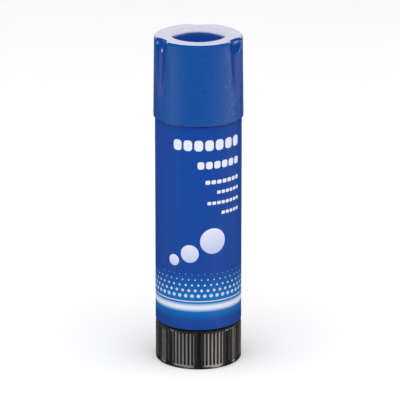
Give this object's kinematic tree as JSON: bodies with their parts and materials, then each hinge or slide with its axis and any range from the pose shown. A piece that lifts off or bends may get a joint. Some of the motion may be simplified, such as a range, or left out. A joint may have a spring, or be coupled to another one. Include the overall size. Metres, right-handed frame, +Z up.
{
  "type": "glue stick",
  "caption": "Wind-up glue stick: pull-off cap with thumb flutes, wrapped barrel and a ribbed base knob whose screw raises the glue.",
  "frame": {"origin": "on the surface that the knob stands on, under the long axis", "axes": "+Z up the long axis towards the cap, -Y towards the front that the picture shows"},
  "size_m": [0.0264, 0.0264, 0.1002],
  "materials": {
    "cap_plastic": "satin side, polished top",
    "barrel_plastic": "satin",
    "label_film": "gloss",
    "knob_plastic": "gloss",
    "inner_plastic": "satin",
    "glue_mass": "waxy"
  },
  "bodies": {
    "barrel": {"barrel": "barrel_plastic", "label": "label_film"},
    "knob": {"turn_knob": "knob_plastic", "lift_screw": "inner_plastic"},
    "carrier": {"glue_carrier": "inner_plastic", "glue": "glue_mass"},
    "cap": {"cap": "cap_plastic"}
  },
  "joints": [
    {"name": "knob_turn", "type": "hinge", "parent": "barrel", "child": "knob", "pos_m": [0, 0, 0.006], "axis": [0, 0, 1], "range_deg": [0, 4950]},
    {"name": "carrier_rise", "type": "slide", "parent": "barrel", "child": "carrier", "axis": [0, 0, 1], "range_m": [0, 0.055]},
    {"name": "cap_pull", "type": "slide", "parent": "carrier", "child": "cap", "axis": [0, 0, 1], "range_m": [0, 0.04]}
  ],
  "couplings": [
    {"joint": "knob_turn", "follows": "carrier_rise", "rad_per_m": 1570.8}
  ]
}
